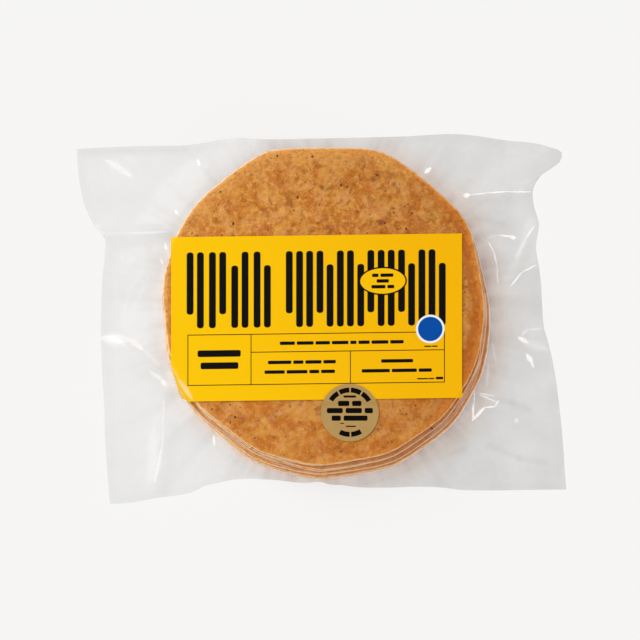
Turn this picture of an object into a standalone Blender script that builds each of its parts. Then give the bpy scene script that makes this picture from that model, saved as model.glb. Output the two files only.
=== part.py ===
"""Corn tortillas in a clear vacuum pouch, with a card label and a round sticker on its front.

Metres, +Z up. The pouch lies on its back. The origin is at the middle of the stack's underside, +X points to
the pouch's right-hand edge and +Y to its top edge. The pouch is one solid: the film drawn tight round twelve
tortillas, whose edges show as ridges, and the flat film that stands out round them at half height.
"""

import math
import random

import bmesh
import bpy
from mathutils import Matrix, Vector

MM = 0.001

# The tortillas. Their edge is a circle with flatter sides: (direction in degrees, distance from the middle).
TORTILLA_COUNT = 12
TORTILLA_THICKNESS = 1.5 * MM
TORTILLA_RADIUS = 78.6 * MM
FLAT_SIDES = [
    (9, 75.4 * MM),
    (50, 77.0 * MM),
    (90, 75.3 * MM),
    (128, 76.3 * MM),
    (146, 77.2 * MM),
    (164, 75.9 * MM),
    (186, 74.5 * MM),
    (208, 74.7 * MM),
    (232, 73.3 * MM),
    (256, 74.3 * MM),
    (280, 74.4 * MM),
    (304, 75.6 * MM),
    (328, 76.6 * MM),
    (350, 76.2 * MM),
]
FLAT_SHARPNESS = 60
FLAT_SIDE_REACH = math.radians(60)
UNEVENNESS = 0.22 * MM
UNEVEN_WAVES = 3

# How the stack sits: the middle tortillas lie further to the front right and reach further out than the top.
LEAN = Vector((1.3 * MM, -4.2 * MM))
BULGE = 1.65 * MM

# The film round the stack
FILM_GAP = 0.2 * MM
ROLL_WIDTH = 3.0 * MM
ROLL_TURNS = (0, 35, 65)
UNDER_ROLL_HEIGHT = 0.16 * MM
GROOVE_DEPTH = 0.55 * MM
TOP_RINGS = (0.4, 0.75, 0.92)

# The flat film round the stack: its outline from the right-hand bottom corner, anticlockwise, and its form
POUCH_OUTLINE = [
    (113.0 * MM, -85.4 * MM),
    (110.9 * MM, -48.2 * MM),
    (104.3 * MM, -8.1 * MM),
    (101.6 * MM, 36.0 * MM),
    (99.5 * MM, 56.2 * MM),
    (102.5 * MM, 63.2 * MM),
    (111.6 * MM, 69.3 * MM),
    (113.6 * MM, 73.7 * MM),
    (104.6 * MM, 78.5 * MM),
    (67.0 * MM, 83.9 * MM),
    (36.9 * MM, 82.9 * MM),
    (-29.9 * MM, 81.9 * MM),
    (-68.1 * MM, 78.5 * MM),
    (-117.4 * MM, 76.6 * MM),
    (-113.9 * MM, 48.0 * MM),
    (-108.0 * MM, 37.6 * MM),
    (-103.9 * MM, 33.0 * MM),
    (-105.2 * MM, 14.0 * MM),
    (-104.0 * MM, -25.6 * MM),
    (-98.8 * MM, -91.9 * MM),
    (-67.0 * MM, -87.0 * MM),
    (-48.5 * MM, -81.8 * MM),
    (-25.0 * MM, -80.6 * MM),
    (0.0 * MM, -82.4 * MM),
    (15.0 * MM, -83.9 * MM),
    (60.0 * MM, -85.0 * MM),
]
SHARP_CORNERS = (0, 13, 19)
FLANGE_THICKNESS = 1.0 * MM
FLANGE_START = 0.8 * MM
FLANGE_STEPS = (0, 0.06, 0.15, 0.28, 0.44, 0.62, 0.81, 1)
FLANGE_DROOP = 3.0 * MM
DROOP_REACH = 26.0 * MM
FRONT_TUCK = 3.6 * MM
FRONT_TUCK_REACH = 5.0 * MM
FRONT_TUCK_EDGE = 0.8
CREASE_START = 5.0 * MM
FLOOR_GAP = 0.4 * MM
WAVE_HEIGHT = 0.7 * MM
WAVE_LENGTHS = (74.0 * MM, 58.0 * MM)
# Lifted or lowered corners: (place, rise, reach)
CORNER_LIFTS = [
    ((113.6 * MM, 76.0 * MM), 8.0 * MM, 20.0 * MM),
    ((-117.4 * MM, 76.6 * MM), 3.5 * MM, 24.0 * MM),
    ((-98.8 * MM, -91.9 * MM), -2.0 * MM, 24.0 * MM),
    ((113.0 * MM, -85.4 * MM), 2.5 * MM, 26.0 * MM),
]
# Folds in the film: (start, end, rise, half width)
CREASES = [
    ((-104.0 * MM, 35.2 * MM), (-73.0 * MM, 35.7 * MM), 2.2 * MM, 3.4 * MM),
    ((-104.0 * MM, -11.5 * MM), (-71.0 * MM, -35.7 * MM), 2.4 * MM, 3.6 * MM),
    ((-73.4 * MM, -37.1 * MM), (-78.6 * MM, -84.0 * MM), 1.6 * MM, 3.2 * MM),
    ((67.5 * MM, 54.2 * MM), (100.0 * MM, 56.1 * MM), 2.0 * MM, 3.2 * MM),
    ((101.0 * MM, 40.4 * MM), (89.7 * MM, 13.8 * MM), 1.5 * MM, 3.2 * MM),
    ((101.5 * MM, 21.4 * MM), (89.7 * MM, 13.6 * MM), 1.4 * MM, 3.0 * MM),
    ((88.0 * MM, -9.5 * MM), (106.0 * MM, -15.5 * MM), 1.8 * MM, 4.0 * MM),
    ((69.9 * MM, -52.4 * MM), (84.0 * MM, -44.0 * MM), 1.6 * MM, 3.0 * MM),
    ((80.7 * MM, -42.8 * MM), (108.0 * MM, -48.1 * MM), -1.3 * MM, 3.6 * MM),
    ((77.0 * MM, -64.2 * MM), (110.0 * MM, -74.5 * MM), -1.3 * MM, 4.0 * MM),
]

# The card label: its middle, size and turn on the pouch's front
LABEL_CENTRE = Vector((-2.75 * MM, -5.8 * MM))
LABEL_TURN = math.radians(0.65)
LABEL_THICKNESS = 0.4 * MM
# Its cells are finest where its corners bend: (cells, the length that they cover) from the lower left
LABEL_COLUMNS = [(12, 26.0 * MM), (4, 93.4 * MM), (5, 16.0 * MM)]
LABEL_ROWS = [(10, 25.0 * MM), (3, 42.0 * MM), (3, 10.0 * MM)]
LABEL_BEND_START = 0.6 * MM
LABEL_BEND_RADIUS = 2.2 * MM
STEEPEST_BEND = math.radians(85)

# The round sticker, half on the label and half on the film
STICKER_CENTRE = Vector((12.5 * MM, -50.3 * MM))
STICKER_RADIUS = 13.4 * MM
STICKER_THICKNESS = 0.4 * MM
STICKER_RAYS = 40
STICKER_RINGS = (0.4, 0.75, 1)
STICKER_STEP_START = 0.9 * MM
STICKER_STEP_LENGTH = 5.0 * MM

PART_GAP = 0.3 * MM
SHARP_EDGE = math.radians(40)
RAYS = 96
SEED = 12

STACK_HEIGHT = TORTILLA_COUNT * TORTILLA_THICKNESS
MID_LAYER = TORTILLA_COUNT // 2
MID_HEIGHT = FILM_GAP + STACK_HEIGHT / 2
TOP_HEIGHT = STACK_HEIGHT + 2 * FILM_GAP
LABEL_TOP = TOP_HEIGHT + PART_GAP + LABEL_THICKNESS


def smooth(share):
    """0 to 1 with level ends, for a share from 0 to 1."""
    share = min(max(share, 0.0), 1.0)
    return share * share * (3 - 2 * share)


def direction(angle):
    return Vector((math.cos(angle), math.sin(angle)))


def tortilla_radius(angle):
    """The tortilla's edge at an angle: the circle, cut smoothly by its flatter sides."""
    total = TORTILLA_RADIUS**-FLAT_SHARPNESS
    for degrees, distance in FLAT_SIDES:
        facing = math.cos(angle - math.radians(degrees))
        if facing > math.cos(FLAT_SIDE_REACH):
            total += (distance / facing) ** -FLAT_SHARPNESS
    return total ** (-1 / FLAT_SHARPNESS)


def layer_unevenness():
    """For each tortilla, the sizes and phases of a few slow waves round its edge."""
    draw = random.Random(SEED)
    return [
        [(draw.uniform(0, UNEVENNESS / wave), draw.uniform(0, math.tau)) for wave in range(1, UNEVEN_WAVES + 1)]
        for _ in range(TORTILLA_COUNT)
    ]


LAYER_WAVES = layer_unevenness()


def layer_spread(layer, angle):
    """How much further out a tortilla reaches than the top one, from the stack's lean and bulge."""
    half = TORTILLA_COUNT / 2
    depth = min((TORTILLA_COUNT - 1 - layer) / (half - 0.5), 1.0)
    bulge = 1 - abs(layer + 0.5 - half) / (half - 0.5)
    return BULGE * smooth(bulge) + depth * LEAN.dot(direction(angle))


def layer_radius(layer, angle):
    """The edge of one tortilla, counted from 0 at the bottom, with its own slight unevenness."""
    waves = sum(
        size * math.cos(wave * angle + phase)
        for wave, (size, phase) in enumerate(LAYER_WAVES[layer], start=1)
    )
    return tortilla_radius(angle) + layer_spread(layer, angle) + waves


def layer_middle(layer):
    return FILM_GAP + (layer + 0.5) * TORTILLA_THICKNESS


def outline_rays():
    """The ray of each outline point: the nearest free one, in order round the pouch."""
    step = math.tau / RAYS
    first = math.atan2(POUCH_OUTLINE[0][1], POUCH_OUTLINE[0][0])
    rays = []
    for x, y in POUCH_OUTLINE:
        turned = (math.atan2(y, x) - first) % math.tau
        ray = round(first / step) + round(turned / step)
        rays.append(max(ray, rays[-1] + 1) if rays else ray)
    return rays


def pouch_edge():
    """The pouch's outline as one point for each ray: a smooth curve through the outline's points."""
    rays, count = outline_rays(), len(POUCH_OUTLINE)
    points = [Vector(p) for p in POUCH_OUTLINE]
    slopes = [
        Vector((0, 0)) if n in SHARP_CORNERS else (points[(n + 1) % count] - points[n - 1]) / 2
        for n in range(count)
    ]
    edge = {}
    for n in range(count):
        after = (n + 1) % count
        last = rays[after] + (RAYS if after == 0 else 0)
        for ray in range(rays[n], last):
            t = (ray - rays[n]) / (last - rays[n])
            edge[ray % RAYS] = (
                points[n] * (1 - t) ** 2 * (1 + 2 * t)
                + slopes[n] * t * (1 - t) ** 2
                + points[after] * t * t * (3 - 2 * t)
                - slopes[after] * t * t * (1 - t)
            )
    return edge


def ridge(place, start, end, half_width):
    """1 on the line from start to end, falling to 0 to its sides and past its ends."""
    start, end = Vector(start), Vector(end)
    along = end - start
    share = min(max((place - start).dot(along) / along.length_squared, 0.0), 1.0)
    away = (place - start - along * share).length
    return math.exp(-((away / half_width) ** 2))


def flange_height(place, beyond):
    """The height of the flat film's middle at a place that lies this far beyond the stack."""
    height = MID_HEIGHT - FLANGE_DROOP * smooth(beyond / DROOP_REACH)
    facing_front = (-place.normalized().y - FRONT_TUCK_EDGE) / (1 - FRONT_TUCK_EDGE)
    height -= FRONT_TUCK * smooth(beyond / FRONT_TUCK_REACH) * smooth(facing_front)
    across, along = math.tau * place.x / WAVE_LENGTHS[0], math.tau * place.y / WAVE_LENGTHS[1]
    form = WAVE_HEIGHT * math.sin(across) * math.cos(along)
    for corner, rise, reach in CORNER_LIFTS:
        form += rise * math.exp(-(((place - Vector(corner)).length / reach) ** 2))
    for start, end, rise, half_width in CREASES:
        form += rise * ridge(place, start, end, half_width)
    return max(height + form * smooth(beyond / CREASE_START), FLANGE_THICKNESS / 2 + FLOOR_GAP)


def upright(flat, height):
    return Vector((flat.x, flat.y, height))


def roll_point(radius, angle, turn):
    """A point on the film where it rolls over the top tortilla's rim."""
    turn = math.radians(turn)
    rise = TOP_HEIGHT - layer_middle(TORTILLA_COUNT - 1)
    reach = radius - ROLL_WIDTH * (1 - math.sin(turn))
    return upright(direction(angle) * reach, TOP_HEIGHT - rise * (1 - math.cos(turn)))


def stack_side(layers, angle):
    """The film down the side: out over each tortilla's edge and in between it and the next."""
    points = []
    for layer, following in zip(layers, layers[1:] + [None]):
        points.append(upright(direction(angle) * layer_radius(layer, angle), layer_middle(layer)))
        if following is None:
            continue
        groove = (layer_radius(layer, angle) + layer_radius(following, angle)) / 2 - GROOVE_DEPTH
        height = (layer_middle(layer) + layer_middle(following)) / 2
        points.append(upright(direction(angle) * groove, height))
    return points


def pouch_section(ray, edge):
    """The pouch's surface along one ray, from the middle of its front, round its edge, to that of its back."""
    angle = ray * math.tau / RAYS
    top, bottom = TORTILLA_COUNT - 1, 0
    top_radius, bottom_radius = layer_radius(top, angle), layer_radius(bottom, angle)
    points = [Vector((0, 0, TOP_HEIGHT))]
    points += [upright(direction(angle) * top_radius * share, TOP_HEIGHT) for share in TOP_RINGS]
    points += [roll_point(top_radius, angle, turn) for turn in ROLL_TURNS]
    points += stack_side(list(range(top, MID_LAYER - 1, -1)), angle)
    widest = max(layer_radius(MID_LAYER, angle), layer_radius(MID_LAYER - 1, angle))
    root = direction(angle) * (widest + FLANGE_START)
    flange = []
    for share in FLANGE_STEPS:
        place = root.lerp(edge[ray], share)
        flange.append(upright(place, flange_height(place, (place - root).length)))
    half = Vector((0, 0, FLANGE_THICKNESS / 2))
    points += [p + half for p in flange]
    points += [p - half for p in reversed(flange)]
    points += stack_side(list(range(MID_LAYER - 1, bottom - 1, -1)), angle)
    points.append(upright(direction(angle) * (bottom_radius - ROLL_WIDTH / 2), UNDER_ROLL_HEIGHT))
    points.append(upright(direction(angle) * (bottom_radius - ROLL_WIDTH), 0))
    points.append(Vector((0, 0, 0)))
    return points


def finished(name, mesh_data, materials):
    """Turns a bmesh into a named object with outward faces, smooth but for its sharp edges."""
    bmesh.ops.recalc_face_normals(mesh_data, faces=mesh_data.faces)
    mesh = bpy.data.meshes.new(name)
    mesh_data.to_mesh(mesh)
    mesh_data.free()
    mesh.shade_smooth()
    mesh.set_sharp_from_angle(angle=SHARP_EDGE)
    for material in materials:
        mesh.materials.append(material)
    made = bpy.data.objects.new(name, mesh)
    bpy.context.scene.collection.objects.link(made)
    return made


def closed_round(rays, sections):
    """A closed skin through the sections round an axis, wrapped from a flat grid and sewn where it meets."""
    steps = len(sections[0]) - 1
    skin = bmesh.new()
    bmesh.ops.create_grid(skin, x_segments=rays, y_segments=steps, size=0.5)
    for vert in skin.verts:
        ray = round((vert.co.x + 0.5) * rays) % rays
        step = round((vert.co.y + 0.5) * steps)
        vert.co = sections[ray][step]
    bmesh.ops.remove_doubles(skin, verts=skin.verts, dist=0.001 * MM)
    return skin


def make_pouch(film, food):
    """The whole pouch: film on the faces that lie beyond the stack, and food under film on the rest."""
    edge = pouch_edge()
    skin = closed_round(RAYS, [pouch_section(ray, edge) for ray in range(RAYS)])
    for face in skin.faces:
        middle = face.calc_center_median()
        angle = math.atan2(middle.y, middle.x)
        inside = middle.xy.length < layer_radius(MID_LAYER, angle) + FLANGE_START / 2
        face.material_index = 1 if inside else 0
    return finished("pouch", skin, [film, food])


def wall_slope(angle):
    """How steeply the film falls from the top tortilla's rim to the flange, as an angle under level."""
    fall = layer_middle(TORTILLA_COUNT - 1) - layer_middle(MID_LAYER)
    return math.atan2(fall, layer_spread(MID_LAYER, angle))


def on_front(flat, lift):
    """Where a point of a flat card comes to lie on the pouch's front, bent over the rim, at this lift."""
    angle = math.atan2(flat.y, flat.x)
    start = tortilla_radius(angle) - LABEL_BEND_START
    beyond = flat.length - start
    if beyond <= 0:
        return upright(flat, TOP_HEIGHT + lift)
    slope = min(wall_slope(angle), STEEPEST_BEND)
    turn = min(beyond / LABEL_BEND_RADIUS, slope)
    straight = beyond - turn * LABEL_BEND_RADIUS
    reach = start + (LABEL_BEND_RADIUS + lift) * math.sin(turn) + straight * math.cos(turn)
    height = TOP_HEIGHT - LABEL_BEND_RADIUS + (LABEL_BEND_RADIUS + lift) * math.cos(turn)
    return upright(direction(angle) * reach, height - straight * math.sin(turn))


def side_lines(stretches):
    """Where the lines across a side of the label lie, measured from the side's middle."""
    lines = [-sum(length for _, length in stretches) / 2]
    for cells, length in stretches:
        lines += [lines[-1] + length * (n + 1) / cells for n in range(cells)]
    return lines


def make_label(card):
    """The rectangular card label, lying on the front and bent down over the rim at its lower left corner."""
    columns, rows = side_lines(LABEL_COLUMNS), side_lines(LABEL_ROWS)
    sheet = bmesh.new()
    bmesh.ops.create_grid(sheet, x_segments=len(columns) - 1, y_segments=len(rows) - 1, size=0.5)
    under = list(sheet.verts)
    raised = bmesh.ops.extrude_face_region(sheet, geom=sheet.faces[:], use_keep_orig=True)["geom"]
    over = [v for v in raised if isinstance(v, bmesh.types.BMVert)]
    for verts, lift in ((under, PART_GAP), (over, PART_GAP + LABEL_THICKNESS)):
        for vert in verts:
            column = round((vert.co.x + 0.5) * (len(columns) - 1))
            row = round((vert.co.y + 0.5) * (len(rows) - 1))
            flat = Vector((columns[column], rows[row]))
            flat.rotate(Matrix.Rotation(LABEL_TURN, 2))
            vert.co = on_front(flat + LABEL_CENTRE, lift)
    return finished("label", sheet, [card])


def below_label(flat):
    """How far a place lies below the label's lower edge."""
    local = flat - LABEL_CENTRE
    across = direction(LABEL_TURN + math.pi / 2)
    return -local.dot(across) - sum(length for _, length in LABEL_ROWS) / 2


def make_sticker(foil):
    """The round sticker, level on the label and stepping down to the film past the label's lower edge."""

    def point(ray, share, lift):
        flat = STICKER_CENTRE + direction(ray * math.tau / STICKER_RAYS) * STICKER_RADIUS * share
        step = smooth((below_label(flat) - STICKER_STEP_START) / STICKER_STEP_LENGTH)
        return upright(flat, LABEL_TOP + PART_GAP + lift - step * (LABEL_THICKNESS + PART_GAP))

    shares = (0, *STICKER_RINGS)
    sections = [
        [point(ray, share, STICKER_THICKNESS) for share in shares]
        + [point(ray, share, 0) for share in reversed(shares)]
        for ray in range(STICKER_RAYS)
    ]
    return finished("round_sticker", closed_round(STICKER_RAYS, sections), [foil])


def material(name, colour, roughness, metallic=0.0, alpha=1.0):
    made = bpy.data.materials.new(name)
    made.use_nodes = True
    shader = made.node_tree.nodes["Principled BSDF"]
    shader.inputs["Base Color"].default_value = (*colour, 1)
    shader.inputs["Roughness"].default_value = roughness
    shader.inputs["Metallic"].default_value = metallic
    shader.inputs["Alpha"].default_value = alpha
    made.diffuse_color = (*colour, alpha)
    return made


def clear_scene():
    for item in list(bpy.data.objects):
        bpy.data.objects.remove(item)


def main():
    clear_scene()
    film = material("clear_film", (0.85, 0.85, 0.84), 0.15, alpha=0.4)
    food = material("tortilla", (0.56, 0.21, 0.045), 0.45)
    card = material("yellow_card", (0.94, 0.52, 0.002), 0.4)
    foil = material("gold_foil", (0.50, 0.31, 0.09), 0.35, metallic=0.6)
    make_pouch(film, food)
    make_label(card)
    make_sticker(foil)


main()
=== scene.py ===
"""Corn tortillas in a clear vacuum pouch with a card label and a round sticker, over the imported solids.

Metres, +Z up. The pouch lies on its back, and its label reads along +X with its top towards +Y.
"""

import math
import random

import bmesh
import bpy
from mathutils import Matrix, Vector, noise


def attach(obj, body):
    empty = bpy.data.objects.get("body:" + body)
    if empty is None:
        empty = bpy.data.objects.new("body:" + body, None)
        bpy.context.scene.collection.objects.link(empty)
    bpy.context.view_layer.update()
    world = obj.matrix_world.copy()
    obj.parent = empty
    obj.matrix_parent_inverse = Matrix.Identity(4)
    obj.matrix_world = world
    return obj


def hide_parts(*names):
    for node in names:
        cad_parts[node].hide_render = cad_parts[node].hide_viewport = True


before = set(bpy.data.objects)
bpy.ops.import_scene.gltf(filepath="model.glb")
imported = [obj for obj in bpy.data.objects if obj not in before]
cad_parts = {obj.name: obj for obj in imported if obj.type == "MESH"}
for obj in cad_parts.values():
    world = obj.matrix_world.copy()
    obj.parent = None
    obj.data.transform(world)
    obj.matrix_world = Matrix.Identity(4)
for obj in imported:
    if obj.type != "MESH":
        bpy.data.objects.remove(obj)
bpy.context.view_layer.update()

MM = 0.001


def in_metres(rows):
    """Rows of places and lengths given in millimetres, with every number in metres."""
    return [tuple(in_metres(row)) if isinstance(row, tuple) else row * MM for row in rows]


# The tortillas, as the pouch's solid has them, and their flatter sides: (direction in degrees, distance)
TORTILLA_COUNT = 12
TORTILLA_THICKNESS = 1.5 * MM
TORTILLA_RADIUS = 78.6 * MM
FLAT_SIDES = [
    (degrees, distance * MM)
    for degrees, distance in [
        (9, 75.4), (50, 77.0), (90, 75.3), (128, 76.3), (146, 77.2), (164, 75.9), (186, 74.5),
        (208, 74.7), (232, 73.3), (256, 74.3), (280, 74.4), (304, 75.6), (328, 76.6), (350, 76.2),
    ]
]
FLAT_SHARPNESS = 60
FLAT_SIDE_REACH = math.radians(60)
UNEVENNESS = 0.22 * MM
UNEVEN_WAVES = 3
LEAN = Vector((1.3 * MM, -4.2 * MM))
BULGE = 1.65 * MM
SEED = 12
UNDULATION = 0.10 * MM
UNDULATION_LENGTH = 24.0 * MM

# Each tortilla's own form inside the film
TORTILLA_INSET = 0.3 * MM
TORTILLA_GAP = 0.05 * MM
SHOWN_GRID = (360, 40)
HIDDEN_GRID = (240, 5)
RING_EASE = 0.8
RIM_WIDTH = 7.0 * MM
TOP_FACE_LIFT = 0.1 * MM
EDGE_TURNS = 7
EDGE_RAGGED = 0.22 * MM
EDGE_SAG = 0.28 * MM
SAG_WIDTH = 6.0 * MM
# How much of that sag the outer two keep
TOP_SAG = 0.25
BOTTOM_SAG = 0.15
RECESS = 1.0 * MM
RECESS_CONTRAST = 2.4
# Patterns round the stack: (how finely they change round it, how far apart two tortillas are in the noise)
RAGGED_PATTERN = (22, 3.1)
SAG_PATTERN = (5.5, 0.83)
RECESS_PATTERN = (1.6, 2.7)

# The film over the stack and its margins, near to the pouch's solid
FILM_GAP = 0.2 * MM
ROLL_WIDTH = 3.0 * MM
MARGIN_START = 0.8 * MM
MARGIN_DROOP = 3.0 * MM
DROOP_REACH = 26.0 * MM
FRONT_TUCK = 3.6 * MM
FRONT_TUCK_REACH = 5.0 * MM
FRONT_TUCK_EDGE = 0.8
CREASE_START = 5.0 * MM
FLOOR_CLEARANCE = 0.9 * MM
WAVE_HEIGHT = 0.7 * MM
WAVE_LENGTHS = (74.0 * MM, 58.0 * MM)
# Its outline goes round from the lower right corner
POUCH_OUTLINE = in_metres([
    (113.3, -85.4), (111.3, -48.2), (108.1, -23.8), (104.3, -8.1), (103.7, 2.4),
    (103.3, 13.2), (101.4, 30.8), (102.7, 40.6), (100.3, 49.8), (99.7, 56.2),
    (103.7, 63.2), (112.0, 68.7), (113.3, 71.4), (113.2, 73.6), (108.6, 75.9),
    (104.6, 77.5), (86.0, 81.3), (67.0, 84.0), (36.9, 82.7), (15.0, 82.1),
    (-5.0, 81.5), (-29.9, 81.3), (-39.0, 82.1), (-68.1, 78.6), (-84.0, 78.3),
    (-117.1, 76.2), (-112.7, 48.0), (-107.3, 37.8), (-103.2, 33.0), (-103.3, 26.6),
    (-104.3, 14.0), (-104.0, -25.6), (-102.6, -47.0), (-102.2, -58.5), (-99.4, -91.9),
    (-90.5, -91.5), (-77.5, -89.2), (-67.0, -87.8), (-62.0, -86.8), (-54.4, -83.4),
    (-48.5, -82.1), (-43.0, -80.9), (-25.0, -80.7), (-8.0, -82.3), (-0.6, -82.0),
    (2.6, -82.9), (9.0, -83.3), (15.0, -84.0), (30.0, -84.4), (46.0, -84.0),
    (55.5, -84.4), (63.5, -85.4), (75.0, -85.7), (95.0, -85.5),
])
SHARP_CORNERS = (0, 25, 34)
# (place, rise, reach)
CORNER_LIFTS = in_metres([
    ((113.6, 76.0), 8.0, 20.0),
    ((-117.4, 76.6), 3.5, 24.0),
    ((-98.8, -91.9), -2.0, 24.0),
    ((113.0, -85.4), 2.5, 26.0),
])
# (start, end, rise, half width)
FOLDS = in_metres([
    ((-104.0, 35.2), (-73.0, 35.7), 2.2, 3.4),
    ((-104.0, -11.5), (-71.0, -35.7), 2.4, 3.6),
    ((-73.4, -37.1), (-78.6, -84.0), 0.9, 3.2),
    ((67.5, 54.2), (100.0, 56.1), 2.0, 3.2),
    ((101.0, 40.4), (89.7, 13.8), 1.5, 3.2),
    ((101.5, 21.4), (89.7, 13.6), 1.4, 3.0),
    ((88.0, -9.5), (106.0, -15.5), 1.8, 4.0),
    ((69.9, -52.4), (84.0, -44.0), 1.6, 3.0),
    ((80.7, -42.8), (108.0, -48.1), -1.3, 3.6),
    ((77.0, -64.2), (110.0, -74.5), -1.3, 4.0),
])

# The film's mesh: rays from the middle, and the rings and steps along each ray
FILM_RAYS = 480
FRONT_RINGS = 47
BACK_RINGS = 10
ROLL_TURNS = (13, 26, 39, 52, 65)
# Where the film turns under the bottom tortilla: (share of the roll's width, height)
BACK_ROLL = [(0.18, 0.4 * MM), (0.5, 0.13 * MM)]
WALL_STEPS = 3
MARGIN_STEPS = 48
MARGIN_EASE = 1.15
FILM_SPREAD = 0.18 * MM
WELD_SPREAD = 0.03 * MM
FRONT_LIFT = 0.02 * MM
WALL_GROOVE = 0.3 * MM
SAME_PLACE = 0.0005 * MM
# Sharp creases: (start, end, rise, half width)
SHARP_CREASES = in_metres([
    ((-103.1, 35.2), (-74.0, 35.9), 0.5, 1.1),
    ((-97.5, -13.0), (-90.5, -18.6), 0.9, 1.9),
    ((-95.0, -15.0), (-72.9, -32.4), 0.5, 1.0),
    ((-91.0, -18.0), (-69.9, -36.6), -0.4, 1.0),
    ((-73.4, -36.6), (-78.6, -81.8), 0.5, 1.2),
    ((67.5, 54.2), (98.0, 56.1), 0.7, 1.0),
    ((76.5, 32.8), (80.7, 24.3), 0.4, 1.0),
    ((80.7, 24.3), (83.6, 8.1), 0.5, 1.0),
    ((101.0, 40.4), (89.7, 14.3), 0.4, 1.0),
    ((101.0, 21.4), (90.2, 13.8), 0.4, 1.0),
    ((92.5, -10.0), (104.8, -14.8), 0.7, 1.5),
    ((69.9, -52.3), (71.3, -42.8), 0.6, 1.0),
    ((69.9, -52.3), (83.1, -44.3), 0.7, 1.0),
    ((73.7, -40.4), (83.1, -44.3), 0.4, 0.9),
])
# Where folding has whitened the film, and painted glints along creases, in millimetres: (start, end, half
# width at the middle, how white)
WHITENED_AND_GLINTS = [
    ((-103.1, 35.2), (-74.0, 35.9), 1.0, 0.13),
    ((-103.2, -14.4), (-91.8, -15.4), 4.4, 0.26),
    ((-94.6, -13.0), (-84.2, -19.9), 2.0, 0.24),
    ((-84.2, -19.9), (-75.6, -28.4), 1.5, 0.14),
    ((-81.0, -30.2), (-74.2, -35.2), 1.4, 0.22),
    ((-75.2, -35.6), (-69.8, -36.8), 2.0, 0.30),
    ((-74.2, -42.9), (-74.7, -54.6), 0.6, 0.20),
    ((-74.7, -54.6), (-75.2, -65.9), 0.7, 0.20),
    ((-75.2, -65.4), (-78.5, -81.8), 1.4, 0.24),
    ((-103.0, 71.0), (-91.3, 63.8), 2.6, 0.26),
    ((-96.0, 73.5), (-88.0, 71.0), 2.4, 0.10),
    ((-59.9, 71.6), (-58.8, 68.6), 1.0, 0.60),
    ((-70.2, 46.8), (-68.8, 45.0), 0.9, 0.45),
    ((-74.6, 31.2), (-74.0, 27.6), 0.9, 0.55),
    ((-76.4, 23.4), (-75.6, 20.6), 0.8, 0.35),
    ((48.7, 64.8), (51.5, 67.2), 1.1, 0.50),
    ((67.0, 53.5), (69.6, 53.9), 1.4, 0.40),
    ((70.1, 53.8), (78.5, 54.9), 0.5, 0.25),
    ((78.5, 54.9), (87.5, 55.6), 0.5, 0.36),
    ((87.5, 55.6), (98.6, 55.2), 0.45, 0.36),
    ((77.5, 33.4), (83.6, 35.0), 0.45, 0.15),
    ((83.6, 35.0), (91.2, 34.4), 0.55, 0.34),
    ((89.2, 34.6), (91.6, 33.8), 1.2, 0.40),
    ((74.9, 33.4), (78.5, 31.6), 0.45, 0.10),
    ((78.5, 31.6), (80.9, 27.4), 0.5, 0.24),
    ((80.9, 27.4), (82.2, 20.7), 0.5, 0.26),
    ((82.2, 20.7), (82.9, 11.4), 0.55, 0.16),
    ((100.8, 39.4), (96.6, 34.2), 0.8, 0.18),
    ((96.6, 34.2), (91.7, 24.0), 0.8, 0.11),
    ((101.2, 20.8), (94.1, 16.9), 0.5, 0.34),
    ((94.3, 17.0), (88.8, 10.2), 0.6, 0.40),
    ((92.0, -14.0), (96.9, -16.4), 1.2, 0.36),
    ((93.6, -13.0), (96.6, -10.2), 0.9, 0.15),
    ((96.6, -10.2), (102.9, -9.7), 0.9, 0.14),
    ((94.0, -15.6), (105.6, -19.4), 2.8, 0.11),
    ((96.0, -21.8), (98.6, -25.4), 1.6, 0.32),
    ((97.9, -24.4), (99.4, -27.8), 0.8, 0.26),
    ((79.7, -15.9), (81.8, -27.9), 0.6, 0.12),
    ((77.7, -26.6), (77.0, -37.2), 0.9, 0.12),
    ((71.3, -39.6), (70.7, -44.6), 0.5, 0.25),
    ((70.7, -44.4), (69.9, -52.8), 0.6, 0.40),
    ((69.6, -53.4), (75.6, -47.2), 0.8, 0.50),
    ((75.6, -47.2), (81.0, -46.7), 0.5, 0.42),
    ((80.6, -46.8), (82.4, -43.6), 0.5, 0.32),
    ((74.0, -41.4), (81.4, -44.4), 0.45, 0.32),
    ((73.4, -40.6), (80.0, -41.4), 0.4, 0.25),
    ((90.3, -52.5), (91.5, -53.4), 1.5, 0.18),
    ((-50.9, -60.2), (-50.8, -65.4), 0.8, 0.30),
    ((-70.6, -28.0), (-66.6, -35.4), 1.0, 0.12),
    ((-67.0, -34.8), (-60.6, -43.6), 1.5, 0.26),
    ((-33.9, -56.4), (-10.6, -47.0), 0.7, 0.08),
]
# Grey streaks on the stack's side, where the film spans from the top tortilla's edge to a lower one: its haze
# and a painted reflection, as above
GREY_HAZE_AND_SHEEN = [
    ((76.3, 6.0), (76.2, -9.4), 1.5, 0.42),
    ((76.2, -9.4), (74.6, -22.0), 1.1, 0.30),
    ((74.6, -22.0), (69.6, -35.8), 1.2, 0.36),
    ((69.6, -35.8), (61.7, -49.7), 1.2, 0.34),
    ((61.7, -49.7), (48.0, -63.5), 1.4, 0.26),
    ((-57.0, -48.6), (-50.0, -56.2), 0.6, 0.34),
    ((-50.0, -56.2), (-33.1, -68.3), 0.7, 0.38),
    ((-33.1, -68.3), (-12.2, -77.2), 0.7, 0.34),
    ((-12.2, -77.2), (4.0, -79.2), 0.6, 0.28),
]
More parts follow.
